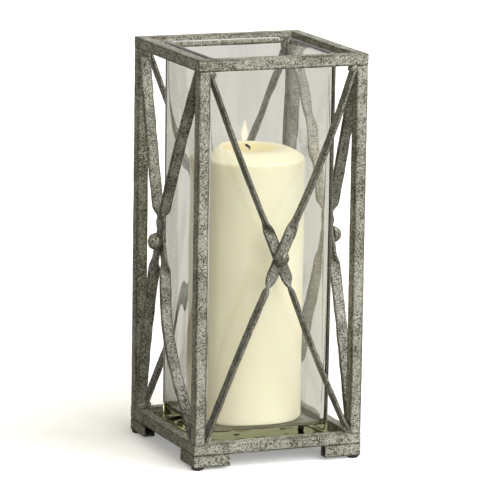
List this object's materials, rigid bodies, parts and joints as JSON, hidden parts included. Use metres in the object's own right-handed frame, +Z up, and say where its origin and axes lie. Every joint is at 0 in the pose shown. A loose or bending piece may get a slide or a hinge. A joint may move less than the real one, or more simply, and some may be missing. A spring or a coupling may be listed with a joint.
{
  "type": "candle lantern",
  "caption": "Square metal cage lantern on corner feet, with crossed twisted flat bars on each side, holding an open-topped square glass and a round pillar candle.",
  "frame": {"origin": "on the surface the lantern stands on, under the middle of the cage", "axes": "+Z up; the front of the lantern faces -Y and +X is to the right as seen from the front"},
  "size_m": [0.1754, 0.1708, 0.3435],
  "materials": {
    "tube_steel": "galvanised grey with fine grit and brown antiquing",
    "bar_steel": "galvanised grey on hammered flat bar, dark at the edges",
    "rivet_steel": "dark antiqued galvanised grey",
    "plate_steel": "dark brown-grey painted sheet",
    "pad_rubber": "black soft rubber",
    "vase_glass": "clear pressed soda-lime glass, faintly green at the edges",
    "candle_wax": "ivory paraffin wax, softly translucent",
    "candle_wick": "charred braided cotton"
  },
  "bodies": {
    "cage": {"top_rail_front": "tube_steel", "top_rail_right": "tube_steel", "top_rail_back": "tube_steel", "top_rail_left": "tube_steel", "bottom_rail_front": "tube_steel", "bottom_rail_right": "tube_steel", "bottom_rail_back": "tube_steel", "bottom_rail_left": "tube_steel", "post_front_left": "tube_steel", "post_front_right": "tube_steel", "post_back_right": "tube_steel", "post_back_left": "tube_steel", "foot_front_left": "tube_steel", "foot_front_right": "tube_steel", "foot_back_right": "tube_steel", "foot_back_left": "tube_steel", "brace_front_inner": "bar_steel", "brace_front_outer": "bar_steel", "brace_right_inner": "bar_steel", "brace_right_outer": "bar_steel", "brace_back_inner": "bar_steel", "brace_back_outer": "bar_steel", "brace_left_inner": "bar_steel", "brace_left_outer": "bar_steel", "rivet_front": "rivet_steel", "rivet_right": "rivet_steel", "rivet_back": "rivet_steel", "rivet_left": "rivet_steel", "foot_pad_front_left": "pad_rubber", "foot_pad_front_right": "pad_rubber", "foot_pad_back_right": "pad_rubber", "foot_pad_back_left": "pad_rubber", "base_plate": "plate_steel"},
    "glass": {"glass_vase": "vase_glass"},
    "candle": {"candle_wax": "candle_wax", "candle_wick": "candle_wick"}
  },
  "joints": [
    {"name": "glass_lift", "type": "slide", "parent": "cage", "child": "glass", "axis": [0, 0, 1], "range_m": [0, 0.34]},
    {"name": "candle_lift", "type": "slide", "parent": "glass", "child": "candle", "axis": [0, 0, 1], "range_m": [0, 0.33]}
  ]
}
